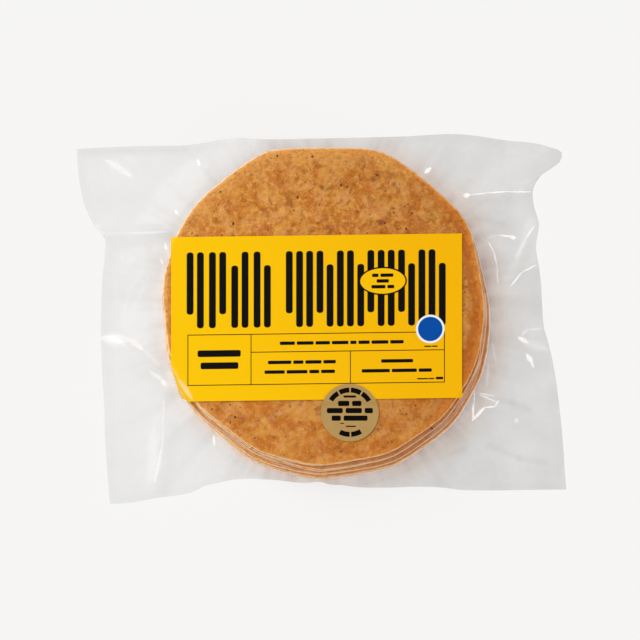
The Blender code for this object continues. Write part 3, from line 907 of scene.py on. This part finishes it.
def clear_film():
    """Glossy clear film: nearly invisible where it is tight, cloudy in its margins, white along creases, with
    painted glints and painted shade.
    """
    finish = Finish("clear_film")
    haze = finish.attribute("haze")
    beyond = finish.attribute("beyond")
    loose = finish.rise(haze, 0.005, 0.03)
    # Painted shade: the film's tones darken towards the right
    shade = finish.rise(finish.axis("X"), -60 * MM, 80 * MM)
    # The place on the flat, shifted a little so that whitened lines aren't quite straight
    sockets = {"Vector": finish.place, "Scale": 1 / WANDER_LENGTH, "Detail": 2.0}
    wander = finish.vector("SUBTRACT", finish.node("ShaderNodeTexNoise", None, sockets, "Color"), (0.5,) * 3)
    wander = finish.vector("MULTIPLY", wander, (CREASE_WANDER * 2,) * 3)
    flat = finish.vector("MULTIPLY", finish.vector("ADD", finish.place, wander), (1, 1, 0))
    white = 0
    for start, end, half_width, strength in WHITENED_AND_GLINTS:
        white = finish.closeness(flat, start, end, half_width) * strength | white
    cloud = (haze * (0.9 + 0.2 * finish.grain(5 * MM, 3.0, 0.6))) & MOST_HAZE
    for start, end, half_width, strength in GREY_HAZE_AND_SHEEN:
        cloud = finish.closeness(flat, start, end, half_width) * strength | cloud
    cloud = cloud | white
    # Seen from the side the film shines more, but not close to the stack
    facing = finish.node("ShaderNodeLayerWeight", sockets={"Blend": 0.5}, out="Facing")
    glancing = facing**5 * between(EDGE_SHINE, finish.rise(beyond, *SHINE_START))
    shine = (LEAST_SHINE + glancing) * (0.2 + 0.8 * loose)
    cover = cloud + shine - cloud * shine
    # The cloud's grey, darker to the right as painted shade
    grey = finish.blend(shade, screen_colour(180, 180, 181), screen_colour(156, 152, 149))
    # Painted shadow round the stack, warmed by the tortillas; a darker painted contact shadow where the film
    # leaves it; and a paler tone on the stack's side, painted light on its shaded right
    near_stack = finish.fall(beyond, *NEAR_STACK) * (0.35 + 0.65 * shade)
    at_stack = finish.blend(shade, screen_colour(194, 142, 98), screen_colour(132, 84, 48))
    on_stack = finish.blend(shade, screen_colour(228, 216, 206), screen_colour(250, 222, 196))
    # Tones laid over each other, nearer and nearer to the stack, then the whitened lines, which are partly
    # painted glints: (how much, colour)
    tones = [
        (near_stack * 0.8, screen_colour(194, 167, 145)),
        (finish.fall(beyond, *AT_STACK) * 0.9, at_stack),
        (finish.fall(beyond, *ON_STACK), on_stack),
        (finish.rise(white, 0.0, 0.3), screen_colour(252, 252, 252)),
    ]
    for much, tone in tones:
        grey = finish.blend(much, grey, tone)
    return finish.done(
        finish.surface(
            Base_Color=finish.blend(shine / cover, grey, screen_colour(255, 255, 255)),
            Metallic=shine / cover,
            Roughness=0.34 - 0.18 * loose,
            Alpha=cover,
            Specular_IOR_Level=0.0,
        )
    )


def plain_ink(name, colour, roughness=0.45):
    """A flat printed ink with a barely uneven lay-down."""
    finish = Finish(name)
    lay = finish.grain(1.6 * MM, 3.0, 0.6)
    lighter = tuple(min(part * 1.12 + 0.002, 1.0) for part in colour[:3]) + (1.0,)
    return finish.done(
        finish.surface(
            Base_Color=finish.blend(lay * 0.5, colour, lighter),
            Roughness=roughness + 0.1 * lay,
            Specular_IOR_Level=0.03,
        )
    )


def yellow_card():
    """Coated yellow card with the slight unevenness of its print and fibres, and painted shade that darkens
    it towards the right.
    """
    finish = Finish("yellow_card")
    # Painted shade: the card darkens from left to right
    across = finish.rise(finish.axis("X"), -70 * MM, 66 * MM)
    colour = finish.blend(across, screen_colour(253, 199, 1), screen_colour(245, 182, 1))
    fibres = finish.grain(1.1 * MM, 4.0, 0.65)
    colour = finish.blend(finish.rise(fibres, 0.45, 0.8) * 0.06, colour, screen_colour(226, 160, 0))
    return finish.done(
        finish.surface(
            Base_Color=colour,
            Roughness=0.5 + 0.08 * fibres,
            Specular_IOR_Level=0.03,
            Normal=finish.bump(fibres, 0.15, 0.05 * MM),
        )
    )


def gold_paper():
    """Satin gold paper: a tan ground with a fine metallic grain."""
    finish = Finish("gold_paper")
    grain = finish.grain(0.5 * MM, 3.0, 0.7)
    slow = finish.grain(9 * MM, 2.0)
    colour = finish.blend(slow, screen_colour(186, 148, 84), screen_colour(196, 158, 92))
    colour = finish.blend(finish.rise(grain, 0.5, 0.8) * 0.25, colour, screen_colour(218, 184, 122))
    return finish.done(
        finish.surface(
            Base_Color=colour,
            Metallic=0.35,
            Roughness=0.36 + 0.12 * grain,
            Normal=finish.bump(grain, 0.12, 0.05 * MM),
        )
    )


def studio_floor():
    """A pale floor, mostly lit from below, as a light table is, so that shadows stay faint."""
    finish = Finish("studio_floor")
    return finish.done(
        finish.surface(
            Base_Color=FLOOR_COLOUR,
            Roughness=0.9,
            Specular_IOR_Level=0.1,
            Emission_Color=FLOOR_GLOW,
            Emission_Strength=FLOOR_GLOW_STRENGTH,
        )
    )


def wrapped(rays, sections, *value_names):
    """A closed skin through the sections round an axis, wrapped from a grid, with values at each point."""
    steps = len(sections[0]) - 1
    skin = bmesh.new()
    bmesh.ops.create_grid(skin, x_segments=rays, y_segments=steps, size=0.5)
    for name in value_names:
        skin.verts.layers.float.new(name)
    layers = [skin.verts.layers.float[name] for name in value_names]
    for vert in skin.verts:
        ray = round((vert.co.x + 0.5) * rays) % rays
        step = round((vert.co.y + 0.5) * steps)
        vert.co, *values = sections[ray][step]
        for layer, value in zip(layers, values):
            vert[layer] = value
    bmesh.ops.remove_doubles(skin, verts=skin.verts, dist=SAME_PLACE)
    return skin


def finished(name, mesh_data, material, slot, *nodes, sharp=60):
    """Makes a bmesh a piece of the part: its name, finish, body and the solids that it stands for."""
    bmesh.ops.recalc_face_normals(mesh_data, faces=mesh_data.faces)
    mesh = bpy.data.meshes.new(name)
    mesh_data.to_mesh(mesh)
    mesh_data.free()
    mesh.shade_smooth()
    mesh.set_sharp_from_angle(angle=math.radians(sharp))
    mesh.materials.append(material)
    piece = bpy.data.objects.new(name, mesh)
    bpy.context.scene.collection.objects.link(piece)
    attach(piece, "root")
    if nodes:
        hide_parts(*nodes)
    return piece


def recess(layer, angle):
    """Of two neighbours in the stack, now one and now the other stays back a little from the film."""
    place = layer % MID_LAYER - 1
    if not 0 <= place < MID_LAYER - 2:
        return 0.0
    pair = place // 2 + (MID_LAYER - 1) * (layer // MID_LAYER)
    fineness, apart = RECESS_PATTERN
    wave = round_noise(angle, fineness, pair * apart)
    return RECESS * smooth(0.5 + (RECESS_CONTRAST if place % 2 else -RECESS_CONTRAST) * wave)


def make_tortilla(layer, dough):
    """An uneven disc with a rounded, slightly ragged edge. Only the outer two tortillas show their faces."""
    top, bottom = layer == TOP_LAYER, layer == 0
    rays, rings = SHOWN_GRID if top or bottom else HIDDEN_GRID
    half = (TORTILLA_THICKNESS - TORTILLA_GAP) / 2
    held = TOP_SAG if top else BOTTOM_SAG if bottom else 1.0
    shares = [(n / rings) ** RING_EASE for n in range(rings + 1)]

    def waves(angle, pattern):
        fineness, apart = pattern
        return round_noise(angle, fineness, layer * apart)

    def sag(angle, inward):
        """The edge isn't level: it rises and sinks a little as it goes round, more at the stack's middle."""
        return EDGE_SAG * held * waves(angle, SAG_PATTERN) * (1 - smooth(inward / SAG_WIDTH))

    def face_point(angle, radius, side, inward):
        flat = direction(angle) * radius
        height = layer_middle(layer) + side * half + sag(angle, inward)
        if top and side > 0:
            height += undulation(flat) + TOP_FACE_LIFT
        return upright(flat, height)

    sections = []
    for ray in range(rays):
        angle = ray * math.tau / rays
        ragged = EDGE_RAGGED * waves(angle, RAGGED_PATTERN)
        reach = layer_radius(layer, angle) - TORTILLA_INSET - recess(layer, angle) + ragged
        inner = reach - half
        faces = []
        for side in (1, -1):
            face = []
            for share in shares:
                place = face_point(angle, inner * share, side, inner * (1 - share))
                face.append((place, (reach - inner * share) / RIM_WIDTH))
            faces.append(face)
        edge = []
        for n in range(1, EDGE_TURNS):
            turn = math.pi / 2 - math.pi * n / EDGE_TURNS
            flat = direction(angle) * (inner + half * math.cos(turn))
            edge.append((upright(flat, layer_middle(layer) + half * math.sin(turn) + sag(angle, 0.0)), 0.0))
        sections.append(faces[0] + edge + faces[1][::-1])
    skin = wrapped(rays, sections, "rim")
    return finished(f"tortilla_{layer + 1:02d}", skin, dough, "tortilla", "pouch")


def wall_radius(height, angle):
    """How far out the film is at a height on the stack's side, drawn in a little between the edges."""
    position = (height - FILM_GAP) / TORTILLA_THICKNESS - 0.5
    low = min(max(math.floor(position), 0), TOP_LAYER - 1)
    share = position - low
    groove = WALL_GROOVE * math.sin(math.pi * share) ** 2
    return layer_radius(low, angle) * (1 - share) + layer_radius(low + 1, angle) * share - groove


def roll_point(radius, angle, turn):
    """A point on the film where it rolls over the top tortilla's rim."""
    turn = math.radians(turn)
    rise = TOP_HEIGHT - layer_middle(TOP_LAYER)
    reach = radius - ROLL_WIDTH * (1 - math.sin(turn))
    return upright(direction(angle) * reach, TOP_HEIGHT - rise * (1 - math.cos(turn)))


def over_label(points, angle):
    """The film's front along a ray, lifted over the card where it covers it."""
    run = 0.0
    lifted = []
    for place, following in zip(points, points[1:] + points[-1:]):
        flat = direction(angle) * run
        cover = label_cover(flat)
        lifted.append(place.lerp(on_front(flat, FILM_OVER_CARD), cover) if cover else place)
        run += (following - place).length
    return lifted


def film_section(ray, edge):
    """One ray of the film, from the middle of its front, over its edge, to the middle of its back."""
    angle = ray * math.tau / FILM_RAYS
    rim = layer_radius(TOP_LAYER, angle)
    front = []
    for n in range(FRONT_RINGS + 1):
        flat = direction(angle) * (rim - ROLL_WIDTH) * n / FRONT_RINGS
        front.append(upright(flat, TOP_HEIGHT + undulation(flat) + FRONT_LIFT))
    front += [roll_point(rim, angle, turn) for turn in ROLL_TURNS]
    walls = []
    for n in range(TOP_LAYER * WALL_STEPS + 1):
        height = layer_middle(TOP_LAYER) - TORTILLA_THICKNESS * n / WALL_STEPS
        walls.append(upright(direction(angle) * wall_radius(height, angle), height))
    upper = (TOP_LAYER - MID_LAYER) * WALL_STEPS + 1
    front = over_label(front + walls[:upper], angle)
    widest = max(layer_radius(MID_LAYER, angle), layer_radius(MID_LAYER - 1, angle))
    root = direction(angle) * (widest + MARGIN_START)
    length = (edge[ray] - root).length
    over, under = [], []
    for n in range(MARGIN_STEPS + 1):
        share = (n / MARGIN_STEPS) ** MARGIN_EASE
        place = root.lerp(edge[ray], share)
        beyond = (place - root).length
        height = max(margin_height(place, beyond) + fine_relief(place, beyond), FLOOR_CLEARANCE)
        haze = margin_haze(place, beyond, length - beyond)
        spread = FILM_SPREAD * (1 - share) + WELD_SPREAD
        over.append((upright(place, height + spread), haze, beyond + MARGIN_START))
        under.append((upright(place, height - spread), haze, beyond + MARGIN_START))
    back = walls[upper + WALL_STEPS - 1 :]
    bottom = layer_radius(0, angle)
    for share, height in BACK_ROLL:
        back.append(upright(direction(angle) * (bottom - ROLL_WIDTH * share), height))
    for n in range(BACK_RINGS + 1):
        back.append(upright(direction(angle) * (bottom - ROLL_WIDTH) * (1 - n / BACK_RINGS), 0.0))
    front = [(place, tight_haze(place, angle), 0.0) for place in front]
    back = [(place, tight_haze(place, angle), 0.0) for place in back]
    # Where the film leaves the stack it is about as cloudy as it is just outside
    leaving = min(LEAVING_HAZE * over[0][1], MOST_LEAVING_HAZE)
    front[-1] = (front[-1][0], leaving, 0.0)
    back[0] = (back[0][0], leaving, 0.0)
    return front + over + under[::-1] + back


def make_film(film):
    """The whole film as one skin: its front, its margins with their creases, and its back."""
    edge = pouch_edge(FILM_RAYS)
    sections = [film_section(ray, edge) for ray in range(FILM_RAYS)]
    skin = wrapped(FILM_RAYS, sections, "haze", "beyond")
    piece = finished("film", skin, film, "clear_film", "pouch", sharp=75)
    # Thin clear film hardly shades what is under it, so it casts no shadow of its own
    piece.visible_shadow = False
    return piece


def raised(flat_mesh, under, over, place):
    """Gives a flat mesh its thickness, then lays both of its sides where place says."""
    low = list(flat_mesh.verts)
    made = bmesh.ops.extrude_face_region(flat_mesh, geom=flat_mesh.faces[:], use_keep_orig=True)["geom"]
    high = [v for v in made if isinstance(v, bmesh.types.BMVert)]
    for verts, lift in ((low, under), (high, over)):
        for vert in verts:
            vert.co = place(Vector(vert.co.xy), lift)
    return flat_mesh


def on_label(local, lift):
    return on_front(from_label(local), lift)


def make_card(card):
    sheet = bmesh.new()
    across, along = (round(side / LABEL_CELL) for side in LABEL_SIZE)
    bmesh.ops.create_grid(sheet, x_segments=across, y_segments=along, size=0.5)
    bmesh.ops.scale(sheet, vec=(LABEL_SIZE.x, LABEL_SIZE.y, 1), verts=sheet.verts)
    bent = raised(sheet, CARD_UNDER, CARD_OVER, on_label)
    return finished("card_label", bent, card, "yellow_card", "label", sharp=50)


def bar(mesh_data, low, high, rounding):
    """Adds a flat bar between two corners, in millimetres, rounded by a share of its short side."""
    size = Vector((high[0] - low[0], high[1] - low[1])) * MM
    middle = Vector((high[0] + low[0], high[1] + low[1])) * MM / 2
    made = bmesh.ops.create_grid(mesh_data, x_segments=1, y_segments=1, size=0.5)["verts"]
    bmesh.ops.scale(mesh_data, vec=(size.x, size.y, 1), verts=made)
    bmesh.ops.translate(mesh_data, vec=(middle.x, middle.y, 0), verts=made)
    bmesh.ops.bevel(
        mesh_data,
        geom=made,
        offset=min(size) * ROUNDEST * rounding,
        segments=ROUND_STEPS,
        profile=0.5,
        affect="VERTICES",
        material=-1,
    )


def rule(mesh_data, start, end):
    """Adds a thin straight rule, cut into short lengths so that it bends with the card."""
    start, end = Vector(start) * MM, Vector(end) * MM
    length = (end - start).length
    cells = max(round(length / RULE_CELL), 1)
    made = bmesh.ops.create_grid(mesh_data, x_segments=cells, y_segments=1, size=0.5)["verts"]
    bmesh.ops.scale(mesh_data, vec=(length + RULE_WIDTH * MM, RULE_WIDTH * MM, 1), verts=made)
    turn = Matrix.Rotation(math.atan2(end.y - start.y, end.x - start.x), 3, "Z")
    bmesh.ops.rotate(mesh_data, cent=(0, 0, 0), matrix=turn, verts=made)
    middle = (start + end) / 2
    bmesh.ops.translate(mesh_data, vec=(middle.x, middle.y, 0), verts=made)


def disc(mesh_data, centre, radii, steps=96):
    """Adds a flat round or oval disc."""
    made = bmesh.ops.create_circle(mesh_data, cap_ends=True, segments=steps, radius=1.0)["verts"]
    bmesh.ops.scale(mesh_data, vec=(radii[0] * MM, radii[1] * MM, 1), verts=made)
    bmesh.ops.translate(mesh_data, vec=(centre[0] * MM, centre[1] * MM, 0), verts=made)


def word_bars(mesh_data, lines, seed):
    """Adds each line of words as plain bars of uneven length."""
    draw = random.Random(seed)
    for left, right, middle, tall, count in lines:
        gap = tall * BAR_GAP
        parts = [draw.uniform(*BAR_LENGTHS) for _ in range(count)]
        unit = (right - left - gap * (count - 1)) / sum(parts)
        at = left
        for part in parts:
            bar(mesh_data, (at, middle - tall / 2), (at + part * unit, middle + tall / 2), BAR_ROUNDING)
            at += part * unit + gap


def heading(mesh_data):
    """Adds the heading's place as tall upright bars in pairs, stepped at one end in turn."""
    count = 0
    for start, cells, pitch in HEADING_GROUPS:
        for cell in range(cells):
            for n in range(2):
                left = start + cell * pitch + n * (STROKE_WIDTH + STROKE_GAP)
                low, high = HEADING_LOW, HEADING_HIGH
                if n == count % 2:
                    low, high = (low + STROKE_STEP, high) if count % 4 < 2 else (low, high - STROKE_STEP)
                bar(mesh_data, (left, low), (left + STROKE_WIDTH, high), STROKE_ROUNDING)
            count += 1


def ink_layer(name, draw_shapes, lift, material, slot):
    """A layer of ink on the card, with its shapes drawn flat and then laid over the card's bend."""
    shapes = bmesh.new()
    draw_shapes(shapes)
    under = CARD_OVER + lift * INK_DEPTH
    ink = raised(shapes, under, under + INK_DEPTH, on_label)
    return finished(name, ink, material, slot, "label", sharp=50)


def make_print(black, yellow, blue, white):
    """The card's print: the heading, a ruled table, bars for words, an oval and a disc."""

    def black_shapes(shapes):
        heading(shapes)
        for height in (TABLE_TOP, TABLE_BOTTOM):
            rule(shapes, (TABLE_LEFT, height), (TABLE_RIGHT, height))
        for across in (TABLE_LEFT, TABLE_RIGHT):
            rule(shapes, (across, TABLE_TOP), (across, TABLE_BOTTOM))
        rule(shapes, (TABLE_SPLITS[0][0], TABLE_MIDDLE), (TABLE_RIGHT, TABLE_MIDDLE))
        for across, top in TABLE_SPLITS:
            rule(shapes, (across, top), (across, TABLE_BOTTOM))
        word_bars(shapes, WORD_LINES, WORD_SEED)

    def oval_words(shapes):
        word_bars(shapes, OVAL_WORD_LINES, OVAL_SEED)

    def round_field(name, centre, radii, lift, material, slot):
        ink_layer(name, lambda shapes: disc(shapes, centre, radii), lift, material, slot)

    ink_layer("black_print", black_shapes, 0, black, "black_ink")
    round_field("oval_line", OVAL_CENTRE, OVAL_SIZE, 1, black, "black_ink")
    inner = [size - OVAL_LINE for size in OVAL_SIZE]
    round_field("oval_field", OVAL_CENTRE, inner, 2, yellow, "yellow_card")
    ink_layer("oval_print", oval_words, 3, black, "black_ink")
    round_field("disc_ring", DISC_CENTRE, [DISC_RING] * 2, 1, white, "white_ink")
    round_field("disc_field", DISC_CENTRE, [DISC_RADIUS] * 2, 2, blue, "blue_ink")


def sticker_drop(flat):
    """How far the film under the sticker lies below its height over the card."""
    return (1 - label_cover(flat)) * FILM_OVER_CARD


def on_sticker(local, lift):
    flat = STICKER_CENTRE + local
    height = TOP_HEIGHT + FILM_OVER_CARD + STICKER_LIFT - sticker_drop(flat) * STICKER_BEND
    return upright(flat, height + lift)


def make_sticker(paper, black):
    """The round sticker, level over the card and stepping down past the card's lower edge, and its marks."""
    shares = [n / STICKER_RINGS for n in range(STICKER_RINGS + 1)]
    sections = []
    for ray in range(STICKER_RAYS):
        around = direction(ray * math.tau / STICKER_RAYS) * STICKER_RADIUS
        section = [(on_sticker(around * share, STICKER_THICKNESS),) for share in shares]
        section += [(on_sticker(around * share, 0.0),) for share in reversed(shares)]
        sections.append(section)
    skin = wrapped(STICKER_RAYS, sections)
    finished("gold_sticker", skin, paper, "gold_foil", "round_sticker", sharp=50)
    marks = bmesh.new()
    word_bars(marks, STICKER_LINES, STICKER_SEED)
    for start, end, radius, tall, count in STICKER_ARCS:
        arc_bars(marks, start, end, radius, tall, count)
    slice_up(marks, STICKER_RADIUS, MARK_CELL)
    ink = raised(marks, STICKER_THICKNESS, STICKER_THICKNESS + INK_DEPTH, on_sticker)
    finished("sticker_print", ink, black, "black_ink", "round_sticker", sharp=50)


def slice_up(flat_mesh, half_size, cell):
    """Cuts a flat mesh across in both directions so that it can bend with what it lies on."""
    count = round(half_size / cell)
    for normal in (Vector((1, 0, 0)), Vector((0, 1, 0))):
        for n in range(-count, count + 1):
            everything = flat_mesh.verts[:] + flat_mesh.edges[:] + flat_mesh.faces[:]
            place = normal * n * cell
            bmesh.ops.bisect_plane(flat_mesh, geom=everything, dist=1e-9, plane_co=place, plane_no=normal)


def arc_bars(mesh_data, start, end, radius, tall, count):
    """Adds bars bent round the sticker's middle, from one direction to another in degrees."""
    way = 1 if end > start else -1
    each = (abs(end - start) - ARC_GAP * (count - 1)) / count
    for n in range(count):
        first = start + way * n * (each + ARC_GAP)
        made = bmesh.ops.create_grid(mesh_data, x_segments=ARC_CELLS, y_segments=1, size=0.5)["verts"]
        for vert in made:
            angle = math.radians(first + way * each * (vert.co.x + 0.5))
            reach = (radius - way * tall * vert.co.y) * MM
            vert.co = upright(direction(angle) * reach, 0)


def make_bran_flecks(bran):
    """Dark flakes of corn skin, flat on the top tortilla."""
    draw = random.Random(SEED + 1)
    flecks = [(Vector(place) * MM, size * MM) for place, size in BRAN_FLECKS]
    for _ in range(FINE_FLECKS):
        angle = draw.uniform(0, math.tau)
        reach = tortilla_radius(angle) * math.sqrt(draw.uniform(0, FINE_FLECKS_REACH))
        flecks.append((direction(angle) * reach, draw.uniform(*FLECK_SIZES) * MM))
    flakes = bmesh.new()
    for flat, size in flecks:
        made = bmesh.ops.create_icosphere(flakes, subdivisions=1, radius=size / 2)["verts"]
        stretch = (draw.uniform(*FLECK_LENGTHENING), draw.uniform(*FLECK_NARROWING), FLECK_FLATNESS)
        bmesh.ops.scale(flakes, vec=stretch, verts=made)
        turn = Matrix.Rotation(draw.uniform(0, math.tau), 3, "Z")
        bmesh.ops.rotate(flakes, cent=(0, 0, 0), matrix=turn, verts=made)
        height = layer_middle(TOP_LAYER) + TORTILLA_THICKNESS / 2 + undulation(flat) + FLECK_LIFT
        bmesh.ops.translate(flakes, vec=upright(flat, height), verts=made)
    return finished("bran_flecks", flakes, bran, "tortilla", "pouch")


def brown_bran():
    finish = Finish("brown_bran")
    tone = finish.grain(1.4 * MM)
    colour = finish.blend(tone, screen_colour(58, 26, 22), screen_colour(104, 54, 34))
    return finish.done(finish.surface(Base_Color=colour, Roughness=0.5))


def set_studio():
    """The pale floor, the soft lights and the camera."""
    ground = bmesh.new()
    bmesh.ops.create_grid(ground, x_segments=1, y_segments=1, size=FLOOR_HALF)
    bmesh.ops.translate(ground, vec=(0, 0, -FLOOR_DROP), verts=ground.verts)
    mesh = bpy.data.meshes.new("floor")
    ground.to_mesh(mesh)
    ground.free()
    mesh.materials.append(studio_floor())
    floor = bpy.data.objects.new("floor", mesh)
    bpy.context.scene.collection.objects.link(floor)
    for n, (toward, wide, strength, colour) in enumerate(LIGHTS):
        lamp = bpy.data.lights.new(f"soft_light_{n + 1}", "SUN")
        lamp.angle = math.radians(wide)
        lamp.energy = strength
        lamp.color = colour
        light = bpy.data.objects.new(lamp.name, lamp)
        light.rotation_euler = (-Vector(toward)).to_track_quat("-Z", "Y").to_euler()
        bpy.context.scene.collection.objects.link(light)
    world = bpy.data.worlds.new("studio")
    world.use_nodes = True
    sky = world.node_tree.nodes["Background"]
    sky.inputs["Color"].default_value = SKY
    sky.inputs["Strength"].default_value = SKY_STRENGTH
    bpy.context.scene.world = world
    camera = bpy.data.objects.new("camera", bpy.data.cameras.new("camera"))
    camera.data.lens = CAMERA_LENS
    camera.data.sensor_width = SENSOR_WIDTH
    back = Vector((0, -math.cos(CAMERA_ELEVATION), math.sin(CAMERA_ELEVATION)))
    camera.location = CAMERA_TARGET + back * CAMERA_DISTANCE
    camera.rotation_euler = (-back).to_track_quat("-Z", "Y").to_euler()
    bpy.context.scene.collection.objects.link(camera)
    bpy.context.scene.camera = camera
    bpy.context.scene.view_settings.view_transform = "Standard"


dough = toasted_tortilla()
black = plain_ink("black_ink", screen_colour(9, 8, 7))
for layer in range(TORTILLA_COUNT):
    make_tortilla(layer, dough)
make_bran_flecks(brown_bran())
make_card(yellow_card())
make_print(
    black,
    plain_ink("yellow_ink", screen_colour(248, 189, 1)),
    plain_ink("blue_ink", screen_colour(0, 74, 160)),
    plain_ink("white_ink", screen_colour(232, 236, 238)),
)
make_film(clear_film())
make_sticker(gold_paper(), black)
set_studio()
